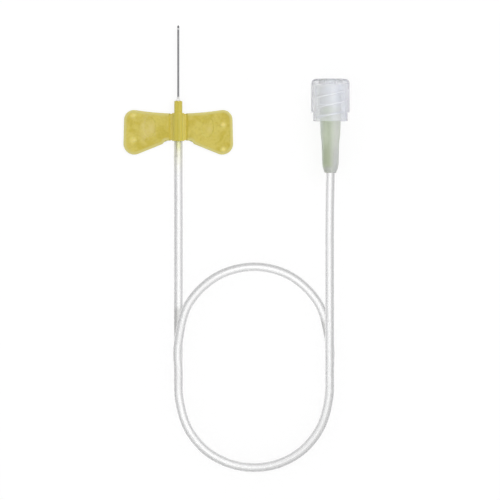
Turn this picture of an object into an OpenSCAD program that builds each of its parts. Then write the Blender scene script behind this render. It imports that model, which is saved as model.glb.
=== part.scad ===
// Winged infusion needle, lying on a table with its tube looped beside it.
// +Y runs along the needle to its point, +X to the connector, +Z up.
// The origin is on the flat skin side of the hub, halfway along the barrel. Millimetres.

/* [Needle] */
// Outer diameter of the steel needle
needle_d = 0.5; // [0.4:0.05:0.7]
// Inner diameter of the steel needle
needle_bore = 0.3; // [0.2:0.02:0.34]
// Length of needle in front of the hub's nose
needle_out = 19; // [12:0.5:25]
// Length of needle held inside the hub
needle_in = 9; // [5:0.5:12]
// Length of the slanted main grind at the point
bevel_l = 1.1; // [0.8:0.1:2]
// Length of the two side grinds at the point
side_grind_l = 0.5; // [0.3:0.05:0.8]
// How far each side grind is turned about the needle, in degrees
side_grind_turn = 40; // [25:5:60]
// Width of the adhesive bead where it meets the nose
bead_d = 1.6; // [1.2:0.1:1.7]
// Height of the adhesive bead along the needle
bead_h = 1; // [0.6:0.1:1.5]
// Gap that the adhesive fills around the needle
glue_gap = 0.02; // [0.01:0.01:0.05]

/* [Hub] */
// Diameter of the barrel between the wings
barrel_d = 2.4; // [2.4:0.05:2.6]
// Length of the barrel between the wings
barrel_l = 7; // [5:0.5:9]
// Height of the barrel's round underside above the table
barrel_lift = 0.05; // [0:0.05:0.2]
// Diameter of the nose that a needle guard pushes onto
nose_d = 2.05; // [1.8:0.05:2.1]
// Length of the nose
nose_l = 3; // [2:0.5:5]
// Chamfer at the end of the nose
nose_chamfer = 0.12; // [0.05:0.01:0.2]
// Length of the rear spigot that the tube is pushed over
spigot_l = 4; // [3:0.5:6]
// Height of the sloping gussets that carry the barrel on its foot
gusset_h = 0.5; // [0.3:0.05:0.6]
// Width over the two gussets at their top
gusset_w = 2.2; // [2:0.05:2.3]

/* [Fold lines] */
// Diameter of the bead that runs along each fold line
fold_bead_d = 0.36; // [0.36:0.01:0.45]
// Thickness of the thin web between the bead and the wing
web_t = 0.3; // [0.2:0.01:0.34]
// Distance from the middle of the barrel to each fold line
fold_x = 1.75; // [1.65:0.05:2]
// Width of thin web between the fold line and the wing
web_w = 0.2; // [0.2:0.05:0.4]
// Gap between the two halves of the web at the fold line
fold_gap = 0.05; // [0.03:0.01:0.1]

/* [Wings] */
// Width over both wings
wing_span = 27.4; // [24:0.2:32]
// Thickness of a wing
wing_t = 0.8; // [0.6:0.05:0.9]
// Radius along the edges of a wing
wing_edge_r = 0.25; // [0.1:0.05:0.3]
// How far the wings reach in front of the middle of the barrel
front_reach = 4.25; // [3.8:0.05:5.5]
// How far the wings reach behind the middle of the barrel
rear_reach = 6.9; // [6:0.05:8]
// Radius of the front outer corner of a wing
front_corner_r = 2.45; // [1.5:0.05:2.6]
// Radius of the rear outer corner of a wing
rear_corner_r = 2.7; // [1.8:0.05:3]
// How much narrower the wings are at the front than at the rear, on each side
front_tuck = 0.15; // [0:0.05:0.5]
// Slope of the front edge where it meets the corner, in degrees
front_slope = 9; // [7:0.5:12]
// Slope of the rear edge, in degrees
rear_slope = 22; // [18:1:26]
// Slope of the short step in the rear edge beside the barrel, in degrees
step_slope = 55; // [40:5:70]
// Distance from the fold line to that step
step_in = 1.35; // [1:0.05:2]
// Radius of the curves at that step
step_r = 0.4; // [0.2:0.05:0.6]
// Setback of the wing root from each end of the barrel
root_setback = 0.1; // [0:0.05:0.3]
// Diameter of the four grip bumps
bump_d = 1.2; // [0.6:0.1:1.4]
// Height of the grip bumps
bump_h = 0.25; // [0.1:0.05:0.4]
// Place of the left wing's front bump, in front of the middle of the barrel
bump_front_y = 2.9; // [2:0.1:3.2]
// Distance between a wing's two bumps
bump_pitch = 6.2; // [5:0.1:6.4]
// How far the right wing's bumps are set back, so that folded wings don't meet on them
bump_stagger = 2.4; // [1.5:0.1:2.5]
// Width of the shallow finger recess
recess_w = 3.4; // [2:0.1:4]
// Length of the shallow finger recess
recess_l = 5.4; // [4:0.1:6]
// Depth of the shallow finger recess
recess_depth = 0.12; // [0.05:0.01:0.2]
// Run of the recess's sloping wall for each millimetre of its depth
recess_run = 2; // [1:0.5:4]
// Distance from the fold line to the middle of the recess
recess_out = 5.5; // [4.5:0.1:6]

/* [Tube] */
// Outer diameter of the tube
tube_d = 2.2; // [2:0.05:2.3]
// Inner diameter of the tube
tube_bore = 1.2; // [1:0.05:1.4]
// Gap between the tube's bore and the spigot inside it
spigot_gap = 0.01; // [0.01:0.01:0.05]

/* [Connector] */
// Diameter of the tapered socket at its mouth
socket_d = 4.3; // [4.2:0.02:4.4]
// Depth of the tapered socket
socket_l = 8; // [7.5:0.1:9]
// Taper of the socket: loss of diameter for each millimetre of depth
socket_taper = 0.06; // [0.05:0.005:0.07]
// Outer diameter at the mouth
mouth_d = 5.7; // [5.1:0.1:6]
// Outer diameter just in front of the step
collar_d = 4.9; // [4.7:0.05:5.1]
// Length in front of the step
front_l = 12.7; // [11:0.1:14]
// Length of the sloping step
ledge_l = 1.2; // [0.4:0.1:1.8]
// Outer diameter just behind the step
waist_d = 4.42; // [4.3:0.02:4.7]
// Outer diameter at the front of the cone at the rear end
tail_d = 4.1; // [3.8:0.02:4.3]
// Length behind the step
rear_l = 8; // [6.5:0.1:10]
// Length of the cone at the rear end
tail_cone_l = 1.9; // [1:0.1:2.4]
// How far from its corner the front of the cone begins to round off
tail_ease = 0.6; // [0.2:0.1:0.9]
// Outer diameter at the very rear
tail_end_d = 2.9; // [2.8:0.1:3.4]
// How far from its corner the very rear begins to round off
tail_end_ease = 0.3; // [0.2:0.05:0.4]
// Depth that the tube is glued into the rear end
tube_in = 6; // [4:0.5:7]
// Gap around the tube in the rear end
tube_gap = 0.03; // [0.02:0.01:0.06]
// Width over the two locking lugs
lug_span = 7.7; // [7.4:0.05:7.8]
// Width of each lug
lug_w = 3; // [2:0.1:3.4]
// Length of each lug along the connector
lug_l = 1.6; // [1:0.1:2]
// Distance of the lugs behind the mouth
lug_back = 0.2; // [0:0.1:0.5]

/* [Cap] */
// Outer diameter of the screw cap
cap_d = 9.6; // [9.2:0.1:9.6]
// Length of the cap's wide part
cap_main_l = 8.4; // [7.5:0.05:9]
// Outer diameter of the cap's skirt
skirt_d = 8.6; // [8.4:0.1:9]
// Length of the cap's skirt
skirt_l = 2.2; // [1.5:0.05:3]
// Chamfer at the open end of the skirt
skirt_chamfer = 0.2; // [0.1:0.02:0.24]
// Radius at the closed end
cap_round = 1.2; // [0.5:0.1:1.3]
// Thickness of the closed end
end_wall = 1.25; // [0.8:0.05:1.5]
// Gap between the lugs and the inside of the cap
lug_gap = 0.1; // [0.08:0.01:0.15]
// Gap between the connector's mouth and the closed end
seat_gap = 0.35; // [0.2:0.05:0.5]
// Length of the plug that seals the socket
plug_l = 5.4; // [4:0.1:6.5]
// Gap between the plug and the tapered socket
plug_gap = 0.04; // [0.03:0.01:0.06]
// Chamfer at the end of the plug
plug_chamfer = 0.3; // [0.1:0.05:0.5]
// Diameter of the blind hole that makes the plug hollow
plug_bore_d = 2.5; // [1.5:0.1:2.7]
// Thickness of the closed end over that hole
plug_floor = 0.7; // [0.5:0.05:0.75]

/* [Hidden] */

steel = [0.62, 0.62, 0.64];
clear_resin = [0.93, 0.93, 0.88];
wing_yellow = [0.79, 0.72, 0.34];
tube_clear = [0.9, 0.91, 0.92];
pale_green = [0.7, 0.74, 0.67];
cap_clear = [0.86, 0.88, 0.91];

round_fn = 48;
over = 0.5;

barrel_end = barrel_l / 2;
nose_end = barrel_end + nose_l;
spigot_end = -barrel_end - spigot_l;
axis_z = barrel_d / 2 + barrel_lift;
hub_bore_d = needle_d + 2 * glue_gap;
bead_tip = 0.02;
spigot_d = tube_bore - 2 * spigot_gap;

root_y = barrel_end - root_setback;
fold_z = fold_bead_d / 2;
web_top = fold_z + web_t / 2;
foot_half = fold_x - fold_bead_d / 2 - fold_gap;
foot_t = fold_bead_d;
wing_root_x = fold_x + web_w;
rear_corner = [wing_span / 2 - rear_corner_r, rear_corner_r - rear_reach];
front_corner = [wing_span / 2 - front_tuck - front_corner_r, front_reach - front_corner_r];
bump_x = rear_corner[0];
bump_round_r = (bump_d * bump_d / 4 + bump_h * bump_h) / (2 * bump_h);

connector_l = rear_l + ledge_l + front_l;
mouth_z = connector_l - tube_in;
cap_inner_d = lug_span + 2 * lug_gap;
cap_end_z = mouth_z + seat_gap + end_wall;
cap_open_z = cap_end_z - cap_main_l - skirt_l;

// Middle line of the tube, from the hub's rear face, down the left side, round the bottom, up the
// right side, over the top, round the bottom again on top of itself, and up into the connector.
ROUTE = [
    [0, -3.5, 1.25], [0, -7.5, 1.25], [0.01, -12, 1.25], [0.03, -22, 1.11],
    [0.03, -32, 1.11], [0.03, -43, 1.11], [0.03, -53.9, 1.11], [0.03, -61, 1.11],
    [0.25, -68, 1.11], [2.26, -75, 1.11], [6.52, -80.55, 1.11], [12.35, -83.95, 1.11],
    [18.85, -85.1, 1.11], [25.37, -84, 1.11], [31.21, -80.6, 1.11], [35.56, -75, 1.11],
    [37.59, -68, 1.11], [37.8, -61, 1.11], [37.75, -53.9, 1.11], [35.2, -44.4, 1.15],
    [28.2, -37.38, 1.55], [18.85, -34.95, 2.3], [9.5, -37.45, 3.05], [2.5, -44.4, 3.4],
    [0.03, -53.9, 3.4], [0.03, -61, 3.4], [0.25, -68, 3.4], [2.26, -75, 3.4],
    [6.52, -80.55, 3.4], [12.35, -83.95, 3.4], [18.85, -85.1, 3.4], [25.37, -84, 3.4],
    [31.21, -80.6, 3.4], [35.56, -75, 3.4], [37.59, -68, 3.4], [37.8, -61, 3.4],
    [37.8, -53.9, 3.4], [37.8, -43, 3.5], [37.8, -32, 4], [37.82, -23, 4.65],
    [37.9, -17, 4.8], [38, -11.5, 4.8], [38, -5.5, 4.8],
];
tube_sides = 8;
rings_per_span = 2;
tube_end = ROUTE[len(ROUTE) - 1];

function unit(v) = v / norm(v);
function turn(v) = [-v[1], v[0]];

// One point of a smooth curve that runs through p1 and p2, with p0 and p3 as its neighbours.
function smooth(p0, p1, p2, p3, t) =
    0.5 * (2 * p1 + (p2 - p0) * t + (2 * p0 - 5 * p1 + 4 * p2 - p3) * t * t
           + (3 * p1 - p0 - 3 * p2 + p3) * t * t * t);

function route_point(i, t) =
    let (last = len(ROUTE) - 1)
    smooth(i == 0 ? 2 * ROUTE[0] - ROUTE[1] : ROUTE[i - 1], ROUTE[i], ROUTE[i + 1],
           i + 2 > last ? 2 * ROUTE[last] - ROUTE[last - 1] : ROUTE[i + 2], t);

// A corner eased by a short curve that starts and ends at the given distance from it.
function eased(before, corner, after, reach, steps = 6) =
    let (a = corner + reach * unit(before - corner), b = corner + reach * unit(after - corner))
    [for (i = [0 : steps])
        let (t = i / steps)
        a * (1 - t) * (1 - t) + corner * 2 * t * (1 - t) + b * t * t];

// An arc as a list of [point, outward normal]; side is -1 where the outline curves inwards.
function arc(centre, r, from, to, steps, side = 1) =
    [for (i = [0 : steps])
        let (a = from + (to - from) * i / steps)
        [centre + r * [cos(a), sin(a)], side * [cos(a), sin(a)]]];

// The outline of the right wing, anticlockwise from the rear of its root.
function wing_outline() =
    let (
        rear_normal = -90 - rear_slope,
        rear_tangent = rear_corner + rear_corner_r * [cos(rear_normal), sin(rear_normal)],
        run = [cos(-rear_slope), sin(-rear_slope)],
        drop = [cos(-step_slope), sin(-step_slope)],
        step_x = fold_x + step_in,
        hollow = [step_x, -root_y - step_r],
        hollow_end = hollow + step_r * [sin(step_slope), cos(step_slope)],
        shoulder_line = rear_tangent + step_r * turn(run),
        step_line = hollow_end + step_r * turn(drop),
        gap = shoulder_line - step_line,
        along = (gap[0] * run[1] - gap[1] * run[0]) / (drop[0] * run[1] - drop[1] * run[0]),
        shoulder = step_line + along * drop,
        between = front_corner - rear_corner,
        side_normal = atan2(between[1], between[0]) - 90
                      + asin((rear_corner_r - front_corner_r) / norm(between)),
        front_normal = 90 + front_slope,
        front_tangent = front_corner + front_corner_r * [cos(front_normal), sin(front_normal)],
        root_front = [wing_root_x, root_y],
        chord = front_tangent - root_front,
        bend = front_slope - atan2(chord[1], chord[0]),
        sweep_r = norm(chord) / (2 * sin(bend)),
        sweep_centre = front_tangent + sweep_r * [cos(front_normal), sin(front_normal)]
    )
    concat(
        [[[wing_root_x, -root_y], [0, -1]]],
        arc(hollow, step_r, 90, 90 - step_slope, 3, -1),
        arc(shoulder, step_r, -90 - step_slope, rear_normal, 3),
        arc(rear_corner, rear_corner_r, rear_normal, side_normal, 12),
        arc(front_corner, front_corner_r, side_normal, front_normal, 10),
        arc(sweep_centre, sweep_r, front_normal - 180, front_normal - 180 - 2 * bend, 6, -1)
    );

function oval_outline(centre, w, l) =
    [for (a = [0 : 15 : 345])
        [centre + [cos(a) * w / 2, sin(a) * l / 2], unit([cos(a) / w, sin(a) / l])]];

// The levels of a wing with rounded edges: [height, inset]. The web's top is one of them.
function wing_levels() =
    let (r = min(wing_edge_r, wing_t / 3))
    concat(
        [for (a = [0 : 30 : 90]) [r * (1 - cos(a)), r * (1 - sin(a))]],
        [[web_top, 0]],
        [for (a = [90 : -30 : 0]) [wing_t - r * (1 - cos(a)), r * (1 - sin(a))]]
    );

// Joins copies of an outline, one for each level, into a closed solid. The first and the last
// point of the outline lean outwards above lean_from, at 45 degrees.
module loft(outline, levels, lean_from = 1000) {
    n = len(outline);
    m = len(levels);
    points = [for (k = [0 : m - 1], i = [0 : n - 1])
        let (
            lean = i == 0 || i == n - 1 ? max(0, levels[k][0] - lean_from) : 0,
            p = outline[i][0] - levels[k][1] * outline[i][1] + [lean, 0]
        )
        [p[0], p[1], levels[k][0]]];
    faces = concat(
        [[for (i = [0 : n - 1]) i]],
        [for (k = [0 : m - 2], i = [0 : n - 1])
            let (j = (i + 1) % n) [k * n + i, (k + 1) * n + i, (k + 1) * n + j]],
        [for (k = [0 : m - 2], i = [0 : n - 1])
            let (j = (i + 1) % n) [k * n + i, (k + 1) * n + j, k * n + j]],
        [[for (i = [n - 1 : -1 : 0]) (m - 1) * n + i]]
    );
    polyhedron(points, faces, convexity = 4);
}

// Turns a body of revolution so that its axis lies along +Y.
module along_y(place) {
    translate(place) rotate([-90, 0, 0]) children();
}

module ground_point(turn_angle, length) {
    tip = nose_end + needle_out;
    slope = atan2(needle_d, length);
    translate([0, tip, axis_z]) rotate([0, turn_angle, 0])
        translate([0, 0, -needle_d / 2]) rotate([-slope, 0, 0])
            translate([-needle_d, -4 * length, 0]) cube([2 * needle_d, 8 * length, 4 * needle_d]);
}

module needle_cannula() {
    color(steel) difference() {
        along_y([0, nose_end - needle_in, axis_z]) difference() {
            cylinder(d = needle_d, h = needle_in + needle_out, $fn = round_fn);
            translate([0, 0, -over])
                cylinder(d = needle_bore, h = needle_in + needle_out + 2 * over, $fn = round_fn);
        }
        ground_point(0, bevel_l);
        for (side = [-1, 1]) ground_point(side * side_grind_turn, side_grind_l);
    }
}

module needle_adhesive() {
    inner = hub_bore_d / 2;
    steps = 6;
    color(clear_resin) along_y([0, nose_end, axis_z]) rotate_extrude($fn = round_fn)
        polygon(concat(
            [[inner, 0]],
            [for (i = [0 : steps])
                let (a = 90 * i / steps)
                [inner + bead_tip + (bead_d / 2 - inner) * (1 - sin(a)), bead_h * (1 - cos(a))]],
            [[inner, bead_h]]
        ));
}

module hub_barrel() {
    hub_l = nose_end - spigot_end;
    color(wing_yellow) difference() {
        union() {
            along_y([0, -barrel_end, 0]) linear_extrude(barrel_l)
                intersection() {
                    union() {
                        translate([0, -axis_z]) circle(d = barrel_d, $fn = round_fn);
                        polygon([
                            [-foot_half, 0], [foot_half, 0], [foot_half, -foot_t],
                            [barrel_d / 2, -foot_t], [gusset_w / 2, -foot_t - gusset_h],
                            [-gusset_w / 2, -foot_t - gusset_h], [-barrel_d / 2, -foot_t],
                            [-foot_half, -foot_t]
                        ]);
                    }
                    translate([-2 * fold_x, -2 * axis_z]) square([4 * fold_x, 2 * axis_z]);
                }
            along_y([0, barrel_end - over, axis_z]) {
                cylinder(d = nose_d, h = nose_l + over - nose_chamfer, $fn = round_fn);
                translate([0, 0, nose_l + over - nose_chamfer])
                    cylinder(d1 = nose_d, d2 = nose_d - 2 * nose_chamfer, h = nose_chamfer, $fn = round_fn);
            }
            along_y([0, spigot_end, axis_z])
                cylinder(d = spigot_d, h = spigot_l + over, $fn = round_fn);
        }
        along_y([0, spigot_end - over, axis_z])
            cylinder(d = hub_bore_d, h = hub_l + 2 * over, $fn = round_fn);
    }
}

// The right wing, with bumps at the distances in bump_ys from the middle of the barrel.
module wing(bump_ys) {
    edge = min(wing_edge_r, wing_t / 3);
    difference() {
        union() {
            loft(wing_outline(), wing_levels(), web_top);
            translate([fold_x, -root_y + edge, fold_z - web_t / 2])
                cube([web_w + over, 2 * (root_y - edge), web_t]);
            along_y([fold_x, -root_y + edge, fold_z])
                cylinder(d = fold_bead_d, h = 2 * (root_y - edge), $fn = round_fn);
        }
        loft(oval_outline([fold_x + recess_out, 0], recess_w, recess_l),
             [[wing_t - recess_depth, recess_depth * recess_run], [wing_t + over, -over * recess_run]]);
    }
    for (y = bump_ys)
        intersection() {
            translate([bump_x, y, wing_t + bump_h - bump_round_r]) sphere(bump_round_r, $fn = 32);
            translate([bump_x - bump_d, y - bump_d, wing_t / 2]) cube([2 * bump_d, 2 * bump_d, wing_t]);
        }
}

module left_wing() {
    color(wing_yellow) mirror([1, 0, 0]) wing([bump_front_y, bump_front_y - bump_pitch]);
}

module right_wing() {
    color(wing_yellow)
        wing([bump_front_y - bump_stagger, bump_front_y - bump_stagger - bump_pitch]);
}

// One ring of the tube's wall, square to the route: radius r, middle c, direction d.
function tube_ring(c, d, r) =
    let (side = unit(cross(d, [0, 0, 1])), up = cross(side, d))
    [for (i = [0 : tube_sides - 1])
        let (a = 360 * i / tube_sides)
        c + r * (cos(a) * side + sin(a) * up)];

module tube() {
    spans = len(ROUTE) - 1;
    line = concat(
        [for (i = [0 : spans - 1], k = [0 : rings_per_span - 1]) route_point(i, k / rings_per_span)],
        [ROUTE[spans]]
    );
    last = len(line) - 1;
    outer_r = tube_d / 2;
    inner_r = tube_bore / 2 / cos(180 / tube_sides);
    points = [for (r = [outer_r, inner_r], i = [0 : last])
        let (d = unit(line[min(i + 1, last)] - line[max(i - 1, 0)]))
        each tube_ring(line[i], d, r)];
    n = tube_sides;
    wall = (last + 1) * n;
    walls = [for (i = [0 : last - 1], k = [0 : n - 1])
        let (a = i * n + k, b = i * n + (k + 1) % n)
        each [[a, a + n, b + n], [a, b + n, b]]];
    ends = [for (k = [0 : n - 1])
        let (a = k, b = (k + 1) % n, c = last * n + k, d = last * n + (k + 1) % n)
        each [[a, b, b + wall], [a, b + wall, a + wall], [c, d + wall, d], [c, c + wall, d + wall]]];
    inner = [for (f = walls) [f[0] + wall, f[2] + wall, f[1] + wall]];
    color(tube_clear) polyhedron(points, concat(walls, inner, ends), convexity = 8);
}

module luer_connector() {
    socket_end_d = socket_d - socket_taper * socket_l;
    color(pale_green) along_y([tube_end[0], tube_end[1] - tube_in, tube_end[2]]) difference() {
        union() {
            rotate_extrude($fn = round_fn) polygon(concat(
                [[0, 0]],
                eased([0, 0], [tail_end_d / 2, 0], [tail_d / 2, tail_cone_l], tail_end_ease),
                eased([tail_end_d / 2, 0], [tail_d / 2, tail_cone_l], [waist_d / 2, rear_l], tail_ease),
                [
                    [waist_d / 2, rear_l], [collar_d / 2, rear_l + ledge_l],
                    [mouth_d / 2, connector_l], [0, connector_l]
                ]
            ));
            translate([0, 0, connector_l - lug_back - lug_l]) intersection() {
                cylinder(d = lug_span, h = lug_l, $fn = round_fn);
                translate([-lug_span, -lug_w / 2, -over])
                    cube([2 * lug_span, lug_w, lug_l + 2 * over]);
            }
        }
        translate([0, 0, connector_l - socket_l])
            cylinder(d1 = socket_end_d, d2 = socket_d, h = socket_l, $fn = round_fn);
        translate([0, 0, connector_l]) cylinder(d = socket_d, h = over, $fn = round_fn);
        cylinder(d = tube_bore, h = connector_l, $fn = round_fn);
        translate([0, 0, -over]) cylinder(d = tube_d + 2 * tube_gap, h = tube_in + over, $fn = round_fn);
    }
}

module luer_cap() {
    steps = 6;
    outer_r = cap_d / 2;
    skirt_r = skirt_d / 2;
    inner_r = cap_inner_d / 2;
    length = skirt_l + cap_main_l;
    floor_z = length - end_wall;
    plug_root_r = (socket_d + socket_taper * seat_gap) / 2 - plug_gap;
    plug_tip_r = plug_root_r - socket_taper * plug_l / 2;
    color(cap_clear) along_y([tube_end[0], tube_end[1] + cap_open_z, tube_end[2]])
        rotate_extrude($fn = round_fn) polygon(concat(
            [
                [inner_r, 0], [skirt_r - skirt_chamfer, 0], [skirt_r, skirt_chamfer],
                [skirt_r, skirt_l], [outer_r, skirt_l]
            ],
            [for (i = [0 : steps])
                let (a = 90 * i / steps)
                [outer_r - cap_round * (1 - cos(a)), length - cap_round * (1 - sin(a))]],
            [
                [0, length], [0, length - plug_floor], [plug_bore_d / 2, length - plug_floor],
                [plug_bore_d / 2, floor_z - plug_l], [plug_tip_r - plug_chamfer, floor_z - plug_l],
                [plug_tip_r, floor_z - plug_l + plug_chamfer], [plug_root_r, floor_z],
                [inner_r, floor_z]
            ]
        ));
}

needle_cannula();
needle_adhesive();
hub_barrel();
left_wing();
right_wing();
tube();
luer_connector();
luer_cap();
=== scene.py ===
import math
import bmesh
import bpy
import numpy as np
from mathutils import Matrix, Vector
from mathutils.kdtree import KDTree


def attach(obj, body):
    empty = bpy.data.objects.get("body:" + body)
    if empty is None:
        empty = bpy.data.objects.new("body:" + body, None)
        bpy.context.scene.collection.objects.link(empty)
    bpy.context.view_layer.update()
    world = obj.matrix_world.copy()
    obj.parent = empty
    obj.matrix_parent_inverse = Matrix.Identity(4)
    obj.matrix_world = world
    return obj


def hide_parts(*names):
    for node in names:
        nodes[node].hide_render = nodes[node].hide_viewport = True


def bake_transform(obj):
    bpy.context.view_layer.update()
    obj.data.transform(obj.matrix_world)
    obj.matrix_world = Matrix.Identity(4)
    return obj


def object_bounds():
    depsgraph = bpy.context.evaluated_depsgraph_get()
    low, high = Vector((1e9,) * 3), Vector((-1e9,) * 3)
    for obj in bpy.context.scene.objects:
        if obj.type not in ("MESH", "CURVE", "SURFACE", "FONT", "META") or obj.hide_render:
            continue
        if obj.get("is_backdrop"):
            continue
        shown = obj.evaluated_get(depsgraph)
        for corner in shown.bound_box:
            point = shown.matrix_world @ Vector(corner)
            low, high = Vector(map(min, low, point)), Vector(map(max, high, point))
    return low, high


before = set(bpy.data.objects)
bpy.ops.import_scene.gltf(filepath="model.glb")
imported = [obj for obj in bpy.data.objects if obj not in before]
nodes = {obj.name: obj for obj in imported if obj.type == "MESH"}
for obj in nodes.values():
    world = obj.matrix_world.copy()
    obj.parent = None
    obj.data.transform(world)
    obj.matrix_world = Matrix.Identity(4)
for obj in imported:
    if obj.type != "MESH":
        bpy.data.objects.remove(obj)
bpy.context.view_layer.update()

# Table, lamps and camera.
# The needle lies flat on a pale table under a wide soft lamp, and the camera looks straight down on it.
# The table is seen as plain white, and still takes the soft shadows of what lies on it.
MM = 0.001
scene = bpy.context.scene
scene.view_settings.view_transform = "Standard"
table_colour = (0.2, 0.2, 0.2, 1)
table_white = 0.82
sky_level = 0.68
view_centre = Vector((17.925 * MM, -30.75 * MM, 0))
view_height = 3.0
field_width = 125 * MM


def add_node(tree, kind, **settings):
    """Adds a shader node, with inputs set by name, or by number as in i0, and properties by their own names."""
    made = tree.nodes.new(kind)
    for key, value in settings.items():
        if key[0] == "i" and key[1:].isdigit():
            made.inputs[int(key[1:])].default_value = value
        elif key.title() in made.inputs:
            made.inputs[key.title()].default_value = value
        else:
            setattr(made, key, value)
    return made


def new_material(name):
    """An empty material, its node tree and its output node."""
    material = bpy.data.materials.new(name)
    material.use_nodes = True
    material.node_tree.nodes.clear()
    output = material.node_tree.nodes.new("ShaderNodeOutputMaterial")
    return material, material.node_tree, output


def new_object(name, mesh):
    made = bpy.data.objects.new(name, mesh)
    scene.collection.objects.link(made)
    return made


table_material, tree, output = new_material("pale_table")
matt = add_node(tree, "ShaderNodeBsdfDiffuse", color=table_colour)
glow = add_node(tree, "ShaderNodeEmission", strength=table_white)
rays = add_node(tree, "ShaderNodeLightPath")
seen_or_mirrored = add_node(tree, "ShaderNodeMath", operation="MAXIMUM")
seen_at_all = add_node(tree, "ShaderNodeMath", operation="MAXIMUM")
no_glow = add_node(tree, "ShaderNodeEmission", strength=0)
chosen = add_node(tree, "ShaderNodeMixShader")
total = add_node(tree, "ShaderNodeAddShader")
tree.links.new(rays.outputs["Is Camera Ray"], seen_or_mirrored.inputs[0])
tree.links.new(rays.outputs["Is Glossy Ray"], seen_or_mirrored.inputs[1])
tree.links.new(seen_or_mirrored.outputs[0], seen_at_all.inputs[0])
tree.links.new(rays.outputs["Is Transmission Ray"], seen_at_all.inputs[1])
tree.links.new(seen_at_all.outputs[0], chosen.inputs[0])
tree.links.new(no_glow.outputs[0], chosen.inputs[1])
tree.links.new(glow.outputs[0], chosen.inputs[2])
tree.links.new(matt.outputs[0], total.inputs[0])
tree.links.new(chosen.outputs[0], total.inputs[1])
tree.links.new(total.outputs[0], output.inputs["Surface"])

table_mesh = bpy.data.meshes.new("table")
table_mesh.from_pydata([(-3, -3, 0), (3, -3, 0), (3, 3, 0), (-3, 3, 0)], [], [(0, 1, 2, 3)])
table_mesh.materials.append(table_material)
table = new_object("table", table_mesh)
table.location = (0, 0, -0.02 * MM)
table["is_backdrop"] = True

world = bpy.data.worlds.new("studio")
scene.world = world
world.use_nodes = True
sky = world.node_tree.nodes["Background"]
sky.inputs["Color"].default_value = (1, 1, 1, 1)
sky.inputs["Strength"].default_value = sky_level

for lamp_name, place, size, watts in [
    ("key_lamp", (0.35, 0.3, 0.75), 0.8, 2.6),
    ("fill_lamp", (-0.6, -0.3, 0.5), 0.5, 0.5),
]:
    lamp_data = bpy.data.lights.new(lamp_name, "AREA")
    lamp_data.size = size
    lamp_data.energy = watts
    lamp = new_object(lamp_name, lamp_data)
    lamp.location = Vector(place) + view_centre
    lamp.rotation_euler = (-Vector(place)).to_track_quat("-Z", "Y").to_euler()

camera_data = bpy.data.cameras.new("camera")
camera_data.sensor_width = 36
camera_data.lens = 36 * view_height / field_width
camera = new_object("camera", camera_data)
camera.location = view_centre + Vector((0, 0, view_height))
camera_data.clip_start = 0.01
scene.camera = camera

# Fine steel needle.
# A drawn stainless tube, ground to a three-faced point and left bright, and glued into the hub's bore.
# Drawing leaves faint lines along it, and the grinding wheel leaves crosswise ones on the point.


def shared_group(name, inputs, outputs):
    """A shader node group with named number inputs and outputs, and its own input and output nodes."""
    group = bpy.data.node_groups.new(name, "ShaderNodeTree")
    for title, value in inputs:
        socket = group.interface.new_socket(title, in_out="INPUT", socket_type="NodeSocketFloat")
        socket.default_value = value
    for title in outputs:
        group.interface.new_socket(title, in_out="OUTPUT", socket_type="NodeSocketFloat")
    return group, group.nodes.new("NodeGroupInput"), group.nodes.new("NodeGroupOutput")


def place_group(tree, group, **values):
    made = tree.nodes.new("ShaderNodeGroup")
    made.node_tree = group
    for key, value in values.items():
        made.inputs[key.replace("_", " ").capitalize()].default_value = value
    return made


# Surface grain of moulded and drawn pieces: fine relief, and slow flow marks under it.
grain_group, taken, given = shared_group(
    "surface_grain",
    [("Fine scale", 8000.0), ("Flow scale", 500.0), ("Stretch", 1.0)],
    ["Height", "Flow"],
)
place = add_node(grain_group, "ShaderNodeTexCoord")
stretch = add_node(grain_group, "ShaderNodeCombineXYZ", i0=1.0, i2=1.0)
pulled = add_node(grain_group, "ShaderNodeVectorMath", operation="MULTIPLY")
fine = add_node(grain_group, "ShaderNodeTexNoise", detail=2.0, roughness=0.6)
flow = add_node(grain_group, "ShaderNodeTexNoise", detail=2.0, roughness=0.5, distortion=0.6)
grain_group.links.new(taken.outputs["Stretch"], stretch.inputs[1])
grain_group.links.new(place.outputs["Object"], pulled.inputs[0])
grain_group.links.new(stretch.outputs[0], pulled.inputs[1])
grain_group.links.new(pulled.outputs[0], fine.inputs["Vector"])
grain_group.links.new(pulled.outputs[0], flow.inputs["Vector"])
grain_group.links.new(taken.outputs["Fine scale"], fine.inputs["Scale"])
grain_group.links.new(taken.outputs["Flow scale"], flow.inputs["Scale"])
grain_group.links.new(fine.outputs["Fac"], given.inputs["Height"])
grain_group.links.new(flow.outputs["Fac"], given.inputs["Flow"])


def ramp_number(tree, source, low, high, out_low, out_high):
    """A number that goes smoothly from one value to another as its source goes from low to high."""
    made = tree.nodes.new("ShaderNodeMapRange")
    made.interpolation_type = "SMOOTHSTEP"
    for socket, value in zip(("From Min", "From Max", "To Min", "To Max"), (low, high, out_low, out_high)):
        made.inputs[socket].default_value = value
    tree.links.new(source, made.inputs["Value"])
    return made.outputs["Result"]


def steepness(tree):
    """0 where the surface faces the viewer and 1 at its outline, as a curved clear wall shows it."""
    made = tree.nodes.new("ShaderNodeLayerWeight")
    made.inputs["Blend"].default_value = 0.5
    return made.outputs["Facing"]


def mix_colours(tree, share, first, second, blend="MIX"):
    """Mixes two colours, each a socket or four numbers, by a share that is a socket."""
    made = tree.nodes.new("ShaderNodeMix")
    made.data_type = "RGBA"
    made.blend_type = blend
    tree.links.new(share, made.inputs["Factor"])
    for socket, colour in ((made.inputs[6], first), (made.inputs[7], second)):
        if isinstance(colour, tuple):
            socket.default_value = colour
        else:
            tree.links.new(colour, socket)
    return made.outputs[2]


def add_bump(tree, height, depth, strength, shader):
    made = add_node(tree, "ShaderNodeBump", strength=strength, distance=depth)
    tree.links.new(height, made.inputs["Height"])
    tree.links.new(made.outputs["Normal"], shader.inputs["Normal"])


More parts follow.
